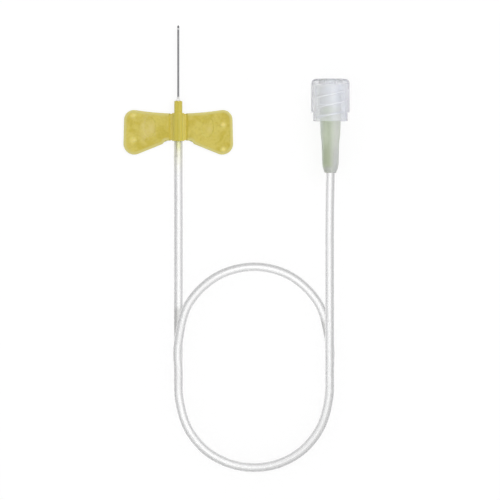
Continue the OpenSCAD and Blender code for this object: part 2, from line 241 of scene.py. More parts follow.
steel, tree, output = new_material("bright_needle_steel")
metal = add_node(tree, "ShaderNodeBsdfPrincipled", metallic=1.0)
grain = place_group(tree, grain_group, fine_scale=16000.0, flow_scale=900.0, stretch=0.03)
steel_colour = mix_colours(tree, grain.outputs["Flow"], (0.2, 0.2, 0.21, 1), (0.29, 0.29, 0.3, 1))
# The heel of the ground point faces up and forward and catches the light, so a painted highlight lightens its colour
# there.
place = add_node(tree, "ShaderNodeTexCoord")
split = add_node(tree, "ShaderNodeSeparateXYZ")
facing = add_node(tree, "ShaderNodeSeparateXYZ")
past_heel = add_node(tree, "ShaderNodeMath", operation="MULTIPLY")
heel_highlight = add_node(tree, "ShaderNodeMath", operation="MULTIPLY")
tree.links.new(place.outputs["Object"], split.inputs[0])
tree.links.new(place.outputs["Normal"], facing.inputs[0])
tree.links.new(ramp_number(tree, split.outputs["Y"], 24.3 * MM, 24.45 * MM, 0.0, 1.0), past_heel.inputs[0])
tree.links.new(ramp_number(tree, split.outputs["Y"], 24.55 * MM, 24.75 * MM, 1.0, 0.0), past_heel.inputs[1])
tree.links.new(past_heel.outputs[0], heel_highlight.inputs[0])
tree.links.new(ramp_number(tree, facing.outputs["Z"], 0.3, 0.6, 0.0, 1.0), heel_highlight.inputs[1])
steel_colour = mix_colours(tree, heel_highlight.outputs[0], steel_colour, (0.96, 0.96, 0.97, 1))
tree.links.new(steel_colour, metal.inputs["Base Color"])
tree.links.new(ramp_number(tree, grain.outputs["Height"], 0.3, 0.7, 0.2, 0.36), metal.inputs["Roughness"])
add_bump(tree, grain.outputs["Height"], 0.004 * MM, 0.5, metal)
tree.links.new(metal.outputs[0], output.inputs["Surface"])


def finish_node(name, material):
    """Gives a CAD node that stays as it is its material."""
    mesh = nodes[name].data
    mesh.materials.clear()
    mesh.materials.append(material)
    return nodes[name]


finish_node("needle_cannula", steel)

# Bead of adhesive.
# Clear resin cured round the needle where it enters the nose, drawn up the steel by its own wetting.
# It is glassy, with a trace of yellow from the hub under it, painted into its colour and into a faint painted glow.


def clear_plastic(name, colour, roughness, ior, shadow, transmission=1.0):
    """A see-through plastic that lets light through to what lies under it."""
    material, tree, output = new_material(name)
    shader = add_node(tree, "ShaderNodeBsdfPrincipled", roughness=roughness)
    shader.inputs["Base Color"].default_value = colour
    shader.inputs["IOR"].default_value = ior
    shader.inputs["Transmission Weight"].default_value = transmission
    let_through = add_node(tree, "ShaderNodeBsdfTransparent", color=shadow)
    rays = add_node(tree, "ShaderNodeLightPath")
    chosen = add_node(tree, "ShaderNodeMixShader")
    tree.links.new(rays.outputs["Is Shadow Ray"], chosen.inputs[0])
    tree.links.new(shader.outputs[0], chosen.inputs[1])
    tree.links.new(let_through.outputs[0], chosen.inputs[2])
    tree.links.new(chosen.outputs[0], output.inputs["Surface"])
    return material, tree, shader


resin, tree, shader = clear_plastic(
    "milky_resin", (1.0, 0.99, 0.93, 1), 0.3, 1.4, (0.95, 0.95, 0.92, 1), transmission=0.0
)
shader.inputs["Subsurface Weight"].default_value = 0.6
shader.inputs["Subsurface Radius"].default_value = (1.0, 1.0, 0.9)
shader.inputs["Subsurface Scale"].default_value = 0.5 * MM
# Painted light: a faint warm glow lifts the bead's shaded sides.
shader.inputs["Emission Color"].default_value = (1.0, 0.98, 0.88, 1)
shader.inputs["Emission Strength"].default_value = 0.1
grain = place_group(tree, grain_group, fine_scale=3000.0, flow_scale=800.0)
add_bump(tree, grain.outputs["Flow"], 0.02 * MM, 0.4, shader)
finish_node("needle_adhesive", resin)

# Hub and wings.
# One injection moulding in soft translucent yellow plastic: a barrel with a nose and a rear spigot, and two
# flat wings on thin live hinges beside it, so the wings can be pinched together. Its edges are all soft.
hub_voxel = 0.05 * MM
wing_voxel = 0.08 * MM
web_inner_x = 1.25 * MM
web_outer_x = 2.2 * MM
web_low_z = 0.03 * MM
web_high_z = 0.33 * MM
web_half_l = 3.3 * MM


def moulded_copy(name, node, voxel, smoothing, boxes=()):
    """A copy of a CAD node with soft edges. Boxes, as two corners each, are moulded into it."""
    shape = bmesh.new()
    shape.from_mesh(nodes[node].data)
    bmesh.ops.remove_doubles(shape, verts=shape.verts, dist=1e-7)
    for low, high in boxes:
        low, high = Vector(low), Vector(high)
        added = bmesh.ops.create_cube(shape, size=1)["verts"]
        bmesh.ops.scale(shape, vec=high - low, verts=added)
        bmesh.ops.translate(shape, vec=(low + high) / 2, verts=added)
    mesh = bpy.data.meshes.new(name)
    shape.to_mesh(mesh)
    shape.free()
    made = new_object(name, mesh)
    remesh = made.modifiers.new("remesh", "REMESH")
    remesh.mode = "VOXEL"
    remesh.voxel_size = voxel
    soften = made.modifiers.new("soften", "SMOOTH")
    soften.factor = 0.5
    soften.iterations = smoothing
    graph = bpy.context.evaluated_depsgraph_get()
    final = bpy.data.meshes.new_from_object(made.evaluated_get(graph), depsgraph=graph)
    made.modifiers.clear()
    made.data = final
    final.name = name
    final.materials.clear()
    final.shade_smooth()
    return made


def mark_points(mesh, title, values):
    """Keeps a number, or three, for each point of a mesh, so that its material follows it when it folds."""
    values = np.asarray(values, np.float32)
    if values.ndim == 1:
        mesh.attributes.new(title, "FLOAT", "POINT").data.foreach_set("value", values)
    else:
        mesh.attributes.new(title, "FLOAT_VECTOR", "POINT").data.foreach_set("vector", values.ravel())


def mark_moulding(mesh):
    """Keeps where each point of a moulding lies, and how far its surface faces up, as it leaves the mould."""
    mark_points(mesh, "moulded_place", [v.co for v in mesh.vertices])
    mark_points(mesh, "moulded_facing", [v.normal.z for v in mesh.vertices])


def marked(tree, title, low, high, out_low, out_high):
    """A ramp over a number that is kept on the mesh's points."""
    made = add_node(tree, "ShaderNodeAttribute", attribute_name=title)
    return ramp_number(tree, made.outputs["Fac"], low, high, out_low, out_high)


def yellow_plastic(name, main, pale, painted_slope_light, painted_rim_light, painted_fold_light):
    """Soft yellow plastic: flow marks, with painted light on its sloping edges and painted light lifting its thin
    folds out of their shade.
    """
    material, tree, output = new_material(name)
    shader = add_node(tree, "ShaderNodeBsdfPrincipled")
    shader.inputs["Subsurface Weight"].default_value = 0.35
    shader.inputs["Subsurface Radius"].default_value = (1.0, 0.8, 0.25)
    shader.inputs["Subsurface Scale"].default_value = 0.35 * MM
    shader.inputs["IOR"].default_value = 1.5
    grain = place_group(tree, grain_group, fine_scale=9000.0, flow_scale=350.0)
    place = add_node(tree, "ShaderNodeAttribute", attribute_name="moulded_place")
    split = add_node(tree, "ShaderNodeSeparateXYZ")
    tree.links.new(place.outputs["Vector"], split.inputs[0])
    body = mix_colours(tree, ramp_number(tree, grain.outputs["Flow"], 0.35, 0.65, 0.0, 1.0), main, pale)
    # Painted light: gentle slopes and steep sides are painted paler, for light that glows out through the soft edges.
    body = mix_colours(tree, marked(tree, "moulded_facing", 0.9, 0.99, 1.0, 0.0), body, painted_slope_light)
    body = mix_colours(tree, marked(tree, "moulded_facing", 0.35, 0.8, 1.0, 0.0), body, painted_rim_light)
    # Painted light: the thin folds beside the barrel are painted paler, lifting them out of the shade of the crease.
    from_middle = add_node(tree, "ShaderNodeMath", operation="ABSOLUTE")
    tree.links.new(split.outputs["X"], from_middle.inputs[0])
    at_fold = ramp_number(tree, from_middle.outputs[0], 1.0 * MM, 1.2 * MM, 0.0, 1.0)
    past_fold = ramp_number(tree, from_middle.outputs[0], 2.3 * MM, 2.5 * MM, 1.0, 0.0)
    low_down = ramp_number(tree, split.outputs["Z"], 0.6 * MM, 0.8 * MM, 1.0, 0.0)
    beside = add_node(tree, "ShaderNodeMath", operation="MULTIPLY")
    fold = add_node(tree, "ShaderNodeMath", operation="MULTIPLY")
    tree.links.new(at_fold, beside.inputs[0])
    tree.links.new(past_fold, beside.inputs[1])
    tree.links.new(beside.outputs[0], fold.inputs[0])
    tree.links.new(low_down, fold.inputs[1])
    tree.links.new(mix_colours(tree, fold.outputs[0], body, painted_fold_light), shader.inputs["Base Color"])
    tree.links.new(ramp_number(tree, grain.outputs["Height"], 0.3, 0.7, 0.3, 0.46), shader.inputs["Roughness"])
    add_bump(tree, grain.outputs["Height"], 0.012 * MM, 0.35, shader)
    tree.links.new(shader.outputs[0], output.inputs["Surface"])
    return material, tree, shader, body


# Painted light: these paler yellows lift the folds out of their shade, and stand for light coming through the recess
# and out at the bumps and outline.
fold_painted_light = (0.78, 0.67, 0.14, 1)
recess_painted_light = (0.71, 0.6, 0.19, 1)
bump_painted_highlight = (0.84, 0.73, 0.22, 1)
rim_painted_glow = (0.67, 0.6, 0.21, 1)
outline_painted_glow = (0.77, 0.7, 0.22, 1)
bump_x = 11.25
bump_front_y = 2.9
bump_pitch = 6.2
bump_stagger = 2.4
recess_centre_x = 7.75
recess_half_w = 1.7
recess_half_l = 2.7
hub_yellow = yellow_plastic(
    "hub_yellow", (0.58, 0.485, 0.052, 1), (0.61, 0.52, 0.068, 1), (0.68, 0.575, 0.085, 1),
    (0.75, 0.67, 0.18, 1), fold_painted_light
)[0]
wing_yellow, tree, shader, body = yellow_plastic(
    "wing_yellow", (0.6, 0.49, 0.052, 1), (0.68, 0.575, 0.11, 1), (0.62, 0.54, 0.085, 1),
    (0.7, 0.62, 0.13, 1), fold_painted_light
)
# The wings are a little thinner in the finger recess, and the light coming through there is painted in as a paler
# beige patch; the light that runs inside them and comes out greener along the outline and in the bumps is painted in
# too.
clouds = add_node(tree, "ShaderNodeTexNoise", scale=420.0, detail=3.0, roughness=0.6)
place = add_node(tree, "ShaderNodeAttribute", attribute_name="moulded_place")
tree.links.new(place.outputs["Vector"], clouds.inputs["Vector"])
# Painted light: a paler beige patch in the recess, broken up by clouds, for light coming through the thinner wall.
recess_light_patch = add_node(tree, "ShaderNodeMath", operation="MULTIPLY")
tree.links.new(marked(tree, "from_recess", 0.5, 1.6, 1.0, 0.0), recess_light_patch.inputs[0])
tree.links.new(ramp_number(tree, clouds.outputs["Fac"], 0.36, 0.64, 0.1, 0.9), recess_light_patch.inputs[1])
wing_shade = shader.inputs["Base Color"].links[0].from_socket
mottle = add_node(tree, "ShaderNodeTexNoise", scale=1900.0, detail=2.0, roughness=0.6)
tree.links.new(place.outputs["Vector"], mottle.inputs["Vector"])
darker_spots = ramp_number(tree, mottle.outputs["Fac"], 0.45, 0.65, 0.0, 1.0)
wing_shade = mix_colours(tree, darker_spots, wing_shade, (0.93, 0.92, 0.84, 1), "MULTIPLY")
wing_shade = mix_colours(tree, recess_light_patch.outputs[0], wing_shade, recess_painted_light)
# Painted highlight and glow: the bumps, the band inside the outline and the outline itself are painted paler and
# greener.
wing_shade = mix_colours(tree, marked(tree, "from_bump", 0.05, 1.15, 1.0, 0.0), wing_shade, bump_painted_highlight)
wing_shade = mix_colours(tree, marked(tree, "from_outline", 0.3, 0.9, 1.0, 0.0), wing_shade, rim_painted_glow)
wing_shade = mix_colours(tree, marked(tree, "from_outline", 0.05, 0.35, 1.0, 0.0), wing_shade, outline_painted_glow)
tree.links.new(wing_shade, shader.inputs["Base Color"])

hub = moulded_copy("moulded_hub", "hub_barrel", hub_voxel, 4)
hub.data.materials.append(hub_yellow)
thin_yellow, tree, shader = clear_plastic(
    "thin_yellow_wall", (0.9, 0.89, 0.6, 1), 0.35, 1.2, (0.97, 0.96, 0.88, 1), transmission=0.0
)
grain = place_group(tree, grain_group, fine_scale=9000.0, flow_scale=600.0)
add_bump(tree, grain.outputs["Height"], 0.01 * MM, 0.3, shader)
place = add_node(tree, "ShaderNodeTexCoord")
split = add_node(tree, "ShaderNodeSeparateXYZ")
tree.links.new(place.outputs["Object"], split.inputs[0])
to_its_end = ramp_number(tree, split.outputs["Y"], -6.8 * MM, -4.2 * MM, 1.0, 0.0)
spigot_shade = mix_colours(tree, to_its_end, (0.86, 0.87, 0.54, 1), (0.98, 0.98, 0.95, 1))
tree.links.new(spigot_shade, shader.inputs["Base Color"])
# Painted light: the spigot's steep sides glow a little in its own colour, lifting the shade they lie in inside the
# tube.
tree.links.new(spigot_shade, shader.inputs["Emission Color"])
tree.links.new(ramp_number(tree, steepness(tree), 0.4, 0.85, 0.0, 0.2), shader.inputs["Emission Strength"])
hub.data.materials.append(thin_yellow)
for face in hub.data.polygons:
    if face.center.y < -3.53 * MM:
        face.material_index = 1
mark_moulding(hub.data)
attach(hub, "root")
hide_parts("hub_barrel")

for side, body in ((-1, "left_wing"), (1, "right_wing")):
    reach = sorted((side * web_inner_x, side * web_outer_x))
    web_box = ((reach[0], -web_half_l, web_low_z), (reach[1], web_half_l, web_high_z))
    wing = moulded_copy("moulded_" + body, body, wing_voxel, 3, [web_box])
    wing.data.materials.append(wing_yellow)
    mark_moulding(wing.data)
    points = np.array([v.co for v in wing.data.vertices]) / MM
    upright = np.array([abs(v.normal.z) < 0.25 for v in wing.data.vertices])
    sides = points[upright & (abs(points[:, 0]) > 2.6)]
    outline = KDTree(len(sides))
    for i, p in enumerate(sides):
        outline.insert((p[0], p[1], 0), i)
    outline.balance()
    mark_points(wing.data, "from_outline", [outline.find((p[0], p[1], 0))[2] for p in points])
    front = bump_front_y - (bump_stagger if side > 0 else 0)
    from_bumps = [np.hypot(points[:, 0] - side * bump_x, points[:, 1] - y) for y in (front, front - bump_pitch)]
    mark_points(wing.data, "from_bump", np.minimum(*from_bumps))
    across = (points[:, 0] - side * recess_centre_x) / recess_half_w
    lengthwise = (points[:, 1] + 0.6) / (1.25 * recess_half_l)
    # On the right wing only the middle of the recess gets the painted paler patch.
    mark_points(wing.data, "from_recess", np.hypot(across, lengthwise) + (0.85 if side > 0 else 0))
    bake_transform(wing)
    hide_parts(body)

# Female tapered connector.
# Turned-looking moulding in pale green plastic: a slender grip with a step, a rounded rear end that the tube
# is glued into, and a tapered socket with two locking lugs at its mouth.
connector_axis = (38 * MM, 4.8 * MM)
connector_rear_y = -11.5 * MM
connector_length = 21.9
green_turns = 96
tube_seat_r = 1.13
channel_r = 0.6
socket_r = 2.15
socket_end_r = 1.91
lug_half_span = 3.85
lug_half_w = 1.5
lug_from = 20.1
lug_to = 21.7


def eased(corners, steps=5):
    """A closed profile of (radius, distance, reach) corners. Each is rounded off from that reach before it."""
    made = []
    for i, (radius, along, reach) in enumerate(corners):
        here = Vector((radius, along))
        if reach == 0:
            made.append(here)
            continue
        before = Vector(corners[i - 1][:2]) - here
        after = Vector(corners[(i + 1) % len(corners)][:2]) - here
        start = here + before.normalized() * min(reach, 0.49 * before.length)
        end = here + after.normalized() * min(reach, 0.49 * after.length)
        for k in range(steps + 1):
            t = k / steps
            made.append(start * (1 - t) ** 2 + here * (2 * t * (1 - t)) + end * t ** 2)
    return made


def turned(name, profile, axis, rear_y, turns):
    """A closed turned mesh about an axis along +Y. The profile holds (radius, distance) pairs in millimetres."""
    shape = bmesh.new()
    rings = []
    for radius, along in profile:
        y = rear_y + along * MM
        if radius < 1e-6:
            rings.append([shape.verts.new((axis[0], y, axis[1]))])
            continue
        ring = []
        for k in range(turns):
            a = 2 * math.pi * k / turns
            ring.append(shape.verts.new((axis[0] + radius * MM * math.sin(a), y, axis[1] + radius * MM * math.cos(a))))
        rings.append(ring)
    count = len(rings)
    for i in range(count):
        a, b = rings[i], rings[(i + 1) % count]
        if len(a) == 1 and len(b) == 1:
            continue
        for k in range(turns):
            m = (k + 1) % turns
            if len(a) == 1:
                shape.faces.new((a[0], b[m], b[k]))
            elif len(b) == 1:
                shape.faces.new((a[k], a[m], b[0]))
            else:
                shape.faces.new((a[k], a[m], b[m], b[k]))
    bmesh.ops.recalc_face_normals(shape, faces=shape.faces)
    mesh = bpy.data.meshes.new(name)
    shape.to_mesh(mesh)
    shape.free()
    return new_object(name, mesh)


def joined(base, others, operation="UNION"):
    """Joins, or cuts away, other objects from the base, and removes them."""
    for other in others:
        cut = base.modifiers.new("join", "BOOLEAN")
        cut.operation = operation
        cut.solver = "EXACT"
        cut.object = other
    graph = bpy.context.evaluated_depsgraph_get()
    final = bpy.data.meshes.new_from_object(base.evaluated_get(graph), depsgraph=graph)
    base.modifiers.clear()
    base.data = final
    for other in others:
        bpy.data.objects.remove(other)
    return base


connector_profile = eased([
    (tube_seat_r, 0, 0), (1.45, 0, 0.3), (2.05, 1.9, 0.6), (2.21, 8, 0.4), (2.45, 9.2, 0.3),
    (2.85, connector_length, 0.2), (socket_r, connector_length, 0.12), (socket_end_r, 13.9, 0.05),
    (channel_r, 13.9, 0.1), (channel_r, 6, 0), (tube_seat_r, 6, 0),
])
connector = turned("green_connector", connector_profile, connector_axis, connector_rear_y, green_turns)
lug_shape = bmesh.new()
for side in (-1, 1):
    corners = []
    for k in range(13):
        half_turn = math.asin(lug_half_w / lug_half_span)
        a = -half_turn + 2 * half_turn * k / 12
        corners.append((side * lug_half_span * math.cos(a), lug_half_span * math.sin(a)))
    corners = [(side * 2.4, -lug_half_w), *corners, (side * 2.4, lug_half_w)]
    low, high = [], []
    for ring, along in ((low, lug_from), (high, lug_to)):
        for x, z in corners:
            place = Vector((connector_axis[0], connector_rear_y, connector_axis[1])) + Vector((x, along, z)) * MM
            ring.append(lug_shape.verts.new(place))
    lug_shape.faces.new(low)
    lug_shape.faces.new(high)
    for k in range(len(corners)):
        m = (k + 1) % len(corners)
        lug_shape.faces.new((low[k], low[m], high[m], high[k]))
bmesh.ops.recalc_face_normals(lug_shape, faces=lug_shape.faces)
lug_mesh = bpy.data.meshes.new("lugs")
lug_shape.to_mesh(lug_mesh)
lug_shape.free()
joined(connector, [new_object("lugs", lug_mesh)])
connector.data.shade_smooth()
connector.data.set_sharp_from_angle(angle=math.radians(40))

pale_green, tree, shader = clear_plastic(
    "pale_green_plastic", (0.5, 0.55, 0.43, 1), 0.3, 1.5, (0.75, 0.8, 0.7, 1), transmission=0.4
)
shader.inputs["Subsurface Weight"].default_value = 0.3
shader.inputs["Subsurface Radius"].default_value = (1.0, 1.0, 0.8)
shader.inputs["Subsurface Scale"].default_value = 0.8 * MM
grain = place_group(tree, grain_group, fine_scale=7000.0, flow_scale=260.0)
place = add_node(tree, "ShaderNodeTexCoord")
split = add_node(tree, "ShaderNodeSeparateXYZ")
tree.links.new(place.outputs["Object"], split.inputs[0])
# Painted light: the right half is painted paler and greyer as the side the light falls on, and the left edge paler
# still, lifting the shade at that outline.
to_the_right = ramp_number(tree, split.outputs["X"], 37.2 * MM, 39.5 * MM, 0.0, 1.0)
towards_the_front = ramp_number(tree, split.outputs["Y"], -7.0 * MM, -2.0 * MM, 0.0, 1.0)
green_left = mix_colours(tree, towards_the_front, (0.61, 0.67, 0.5, 1), (0.66, 0.72, 0.58, 1))
at_the_tail = ramp_number(tree, split.outputs["Y"], -10.6 * MM, -9.4 * MM, 1.0, 0.0)
green_left = mix_colours(tree, at_the_tail, green_left, (0.68, 0.7, 0.65, 1))
at_the_left = ramp_number(tree, split.outputs["X"], 35.7 * MM, 36.6 * MM, 1.0, 0.0)
green_left = mix_colours(tree, at_the_left, green_left, (0.82, 0.87, 0.82, 1))
lit_side_green = mix_colours(tree, towards_the_front, (0.79, 0.8, 0.79, 1), (0.81, 0.83, 0.78, 1))
green_body = mix_colours(tree, to_the_right, green_left, lit_side_green)
# Painted light: the mouth inside the frosted cap is painted pale, for the light the cap scatters over it.
in_the_mouth = ramp_number(tree, split.outputs["Y"], 4.6 * MM, 5.6 * MM, 0.0, 1.0)
green_shade = mix_colours(tree, in_the_mouth, green_body, (0.9, 0.92, 0.95, 1))
tree.links.new(green_shade, shader.inputs["Base Color"])
tree.links.new(ramp_number(tree, grain.outputs["Height"], 0.3, 0.7, 0.26, 0.4), shader.inputs["Roughness"])
add_bump(tree, grain.outputs["Flow"], 0.05 * MM, 0.3, shader)
connector.data.materials.clear()
connector.data.materials.append(pale_green)
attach(connector, "root")
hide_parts("luer_connector")

# Clear screw cap.
# Frosted clear moulding with a stepped skirt, a hollow sealing plug on the inside of its end wall, and a fine
# two-start thread inside that turns over the connector's lugs.
cap_open_y = 1.4 * MM
cap_length = 10.6
cap_r = 4.8
cap_skirt_r = 4.3
cap_skirt_l = 2.2
cap_inner_r = 3.95
cap_turns = 128
cap_floor = 9.35
plug_tip = 3.95
plug_tip_r = 1.959
plug_root_r = 2.121
plug_bore_r = 1.25
plug_bore_end = 9.9
thread_lead = 5.0
thread_height = 0.32
thread_sector = 110

cap_profile = eased([
    (0, cap_length, 0), (0, plug_bore_end, 0), (plug_bore_r, plug_bore_end, 0.3), (plug_bore_r, plug_tip, 0.1),
    (plug_tip_r, plug_tip, 0.3), (plug_root_r, cap_floor, 0.2), (cap_inner_r, cap_floor, 0.2),
    (cap_inner_r, 0, 0.08), (cap_skirt_r, 0, 0.2), (cap_skirt_r, cap_skirt_l, 0.12),
    (cap_r, cap_skirt_l, 0.15), (cap_r, cap_length, 1.4),
], 6)
cap = turned("clear_cap", cap_profile, connector_axis, cap_open_y, cap_turns)


def thread_tree():
    """Ridges of a two-start thread: arcs of a spiral with a rounded section, repeated along the axis."""
    group = bpy.data.node_groups.new("thread_ridges", "GeometryNodeTree")
    group.interface.new_socket("Geometry", in_out="OUTPUT", socket_type="NodeSocketGeometry")
    for title, kind in (("Radius", "NodeSocketFloat"), ("Lead", "NodeSocketFloat"), ("Share of a turn", "NodeSocketFloat"),
                        ("Ridge radius", "NodeSocketFloat"), ("Ridges", "NodeSocketInt"), ("Material", "NodeSocketMaterial")):
        group.interface.new_socket(title, in_out="INPUT", socket_type=kind)
    taken = group.nodes.new("NodeGroupInput")
    given = group.nodes.new("NodeGroupOutput")
    link = group.links.new

    def number(operation, a, b):
        made = group.nodes.new("ShaderNodeMath")
        made.operation = operation
        for socket, value in zip(made.inputs, (a, b)):
            if isinstance(value, (int, float)):
                socket.default_value = value
            else:
                link(value, socket)
        return made.outputs[0]

    arc_height = number("MULTIPLY", taken.outputs["Lead"], taken.outputs["Share of a turn"])
    spiral = group.nodes.new("GeometryNodeCurveSpiral")
    spiral.inputs["Resolution"].default_value = 90
    spiral.inputs["Reverse"].default_value = True
    link(taken.outputs["Share of a turn"], spiral.inputs["Rotations"])
    link(taken.outputs["Radius"], spiral.inputs["Start Radius"])
    link(taken.outputs["Radius"], spiral.inputs["End Radius"])
    link(arc_height, spiral.inputs["Height"])
    section = group.nodes.new("GeometryNodeCurvePrimitiveCircle")
    section.inputs["Resolution"].default_value = 12
    link(taken.outputs["Ridge radius"], section.inputs["Radius"])
    ridge = group.nodes.new("GeometryNodeCurveToMesh")
    ridge.inputs["Fill Caps"].default_value = True
    link(spiral.outputs[0], ridge.inputs["Curve"])
    link(section.outputs[0], ridge.inputs["Profile Curve"])
    centred = group.nodes.new("GeometryNodeTransform")
    shift = group.nodes.new("ShaderNodeCombineXYZ")
    turn = group.nodes.new("ShaderNodeCombineXYZ")
    link(number("MULTIPLY", arc_height, -0.5), shift.inputs["Z"])
    link(number("MULTIPLY", taken.outputs["Share of a turn"], -math.pi), turn.inputs["Z"])
    link(ridge.outputs[0], centred.inputs["Geometry"])
    link(shift.outputs[0], centred.inputs["Translation"])
    link(turn.outputs[0], centred.inputs["Rotation"])
    pitch = number("DIVIDE", taken.outputs["Lead"], 2.0)
    step = group.nodes.new("ShaderNodeCombineXYZ")
    link(pitch, step.inputs["Z"])
    row = group.nodes.new("GeometryNodeMeshLine")
    link(taken.outputs["Ridges"], row.inputs["Count"])
    link(step.outputs[0], row.inputs["Offset"])
    copies = group.nodes.new("GeometryNodeInstanceOnPoints")
    link(row.outputs[0], copies.inputs["Points"])
    link(centred.outputs[0], copies.inputs["Instance"])
    facing = group.nodes.new("GeometryNodeTransform")
    facing.inputs["Rotation"].default_value = (0, 0, math.pi)
    link(copies.outputs[0], facing.inputs["Geometry"])
    both = group.nodes.new("GeometryNodeJoinGeometry")
    link(copies.outputs[0], both.inputs[0])
    link(facing.outputs[0], both.inputs[0])
    real = group.nodes.new("GeometryNodeRealizeInstances")
    link(both.outputs[0], real.inputs[0])
    dressed = group.nodes.new("GeometryNodeSetMaterial")
    link(real.outputs[0], dressed.inputs["Geometry"])
    link(taken.outputs["Material"], dressed.inputs["Material"])
    link(dressed.outputs[0], given.inputs[0])
    return group


def grown(name, group, values):
    """Runs a geometry node tree with inputs by title and keeps its result as a plain mesh."""
    made = new_object(name, bpy.data.meshes.new(name))
    modifier = made.modifiers.new(name, "NODES")
    modifier.node_group = group
    for item in group.interface.items_tree:
        if item.in_out == "INPUT" and item.name in values:
            modifier[item.identifier] = values[item.name]
    graph = bpy.context.evaluated_depsgraph_get()
    final = bpy.data.meshes.new_from_object(made.evaluated_get(graph), depsgraph=graph)
    made.modifiers.clear()
    made.data = final
    return made


frosted, tree, shader = clear_plastic(
    "frosted_clear_plastic", (0.9, 0.92, 0.96, 1), 0.22, 1.4, (0.98, 0.98, 0.99, 1), transmission=0.75
)
grain = place_group(tree, grain_group, fine_scale=5000.0, flow_scale=420.0, stretch=0.5)
place = add_node(tree, "ShaderNodeTexCoord")
split = add_node(tree, "ShaderNodeSeparateXYZ")
tree.links.new(place.outputs["Object"], split.inputs[0])
# Painted light: the cap's left side is painted paler than its right, lifting the shade on that side; the dull and
# clear tones follow its flow marks.
cap_right = ramp_number(tree, split.outputs["X"], 35.0 * MM, 40.0 * MM, 0.0, 1.0)
cap_dull = mix_colours(tree, cap_right, (0.975, 0.985, 1.0, 1), (0.925, 0.94, 0.985, 1))
cap_clear = mix_colours(tree, cap_right, (1.0, 1.0, 1.0, 1), (0.97, 0.975, 1.0, 1))
cap_flow = ramp_number(tree, grain.outputs["Flow"], 0.35, 0.65, 0.0, 1.0)
cap_shade = mix_colours(tree, cap_flow, cap_dull, cap_clear)
# Painted shade: the cap's outline is darkened to a lavender grey, as a curved clear wall looks there.
cap_shade = mix_colours(tree, ramp_number(tree, steepness(tree), 0.45, 0.75, 0.0, 1.0), cap_shade, (0.78, 0.78, 0.86, 1))
tree.links.new(cap_shade, shader.inputs["Base Color"])
tree.links.new(ramp_number(tree, grain.outputs["Height"], 0.3, 0.7, 0.09, 0.18), shader.inputs["Roughness"])
add_bump(tree, grain.outputs["Flow"], 0.04 * MM, 0.35, shader)

# Painted highlight: the thread crests are a whiter, less clear plastic, so they show as bright lines like the light
# they catch.
thread_highlight_paint, tree, shader = clear_plastic(
    "thread_crest_painted_highlight", (1.0, 1.0, 1.0, 1), 0.25, 1.45, (0.98, 0.98, 0.99, 1), transmission=0.3
)
grain = place_group(tree, grain_group, fine_scale=5000.0, flow_scale=420.0)
crest_shade = ramp_number(tree, grain.outputs["Flow"], 0.35, 0.6, 0.0, 1.0)
tree.links.new(
    mix_colours(tree, crest_shade, (0.9, 0.92, 0.98, 1), (1.0, 1.0, 1.0, 1)), shader.inputs["Base Color"]
)
ridges = grown("thread", thread_tree(), {
    "Radius": cap_inner_r * MM,
    "Lead": thread_lead * MM,
    "Share of a turn": thread_sector / 360,
    "Ridge radius": thread_height * MM,
    "Ridges": 3,
    "Material": frosted,
})
# The tree builds about +Z from the +X side. This turns +Z to +Y, and the +X side to the top.
turned_over = np.array(((0, 1, 0), (0, 0, 1), (1, 0, 0)))
ridge_points = np.array([v.co for v in ridges.data.vertices]) @ turned_over.T
ridge_points += np.array((connector_axis[0], 3.1 * MM, connector_axis[1]))
ridges.data.vertices.foreach_set("co", ridge_points.ravel())
joined(cap, [ridges])
cap.data.materials.clear()
cap.data.materials.append(frosted)
cap.data.materials.append(thread_highlight_paint)
for face in cap.data.polygons:
    from_axis = math.hypot(face.center.x - connector_axis[0], face.center.z - connector_axis[1]) / MM
    if lug_half_span - 0.3 < from_axis < cap_inner_r - 0.02 and face.center.y < cap_open_y + 9 * MM:
        face.material_index = 1
cap.data.shade_smooth()
cap.data.set_sharp_from_angle(angle=math.radians(35))
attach(cap, "luer_cap")
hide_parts("luer_cap")

# Clear soft tube.
# Extruded clear plastic, 2.2 mm outside, pushed over the hub's spigot and glued into the connector. It has
# kept one and a half turns of its packed coil, the upper turn lying on the lower one.
tube_route = [
    (0, -3.5, 1.25), (0, -7.5, 1.25), (0.01, -12, 1.25), (0.03, -22, 1.11),
    (0.03, -32, 1.11), (0.03, -43, 1.11), (0.03, -53.9, 1.11), (0.03, -61, 1.11),
    (0.25, -68, 1.11), (2.26, -75, 1.11), (6.52, -80.55, 1.11), (12.35, -83.95, 1.11),
    (18.85, -85.1, 1.11), (25.37, -84, 1.11), (31.21, -80.6, 1.11), (35.56, -75, 1.11),
    (37.59, -68, 1.11), (37.8, -61, 1.11), (37.75, -53.9, 1.11), (35.2, -44.4, 1.15),
    (28.2, -37.38, 1.55), (18.85, -34.95, 2.3), (9.5, -37.45, 3.05), (2.5, -44.4, 3.4),
    (0.03, -53.9, 3.4), (0.03, -61, 3.4), (0.25, -68, 3.4), (2.26, -75, 3.4),
    (6.52, -80.55, 3.4), (12.35, -83.95, 3.4), (18.85, -85.1, 3.4), (25.37, -84, 3.4),
    (31.21, -80.6, 3.4), (35.56, -75, 3.4), (37.59, -68, 3.4), (37.8, -61, 3.4),
    (37.8, -53.9, 3.4), (37.8, -43, 3.5), (37.8, -32, 4), (37.82, -23, 4.65),
    (37.9, -17, 4.8), (38, -11.5, 4.8), (38, -5.5, 4.8),
]
tube_outer_r = 1.1
tube_inner_r = 0.6
steps_per_span = 10
tube_sides = 32

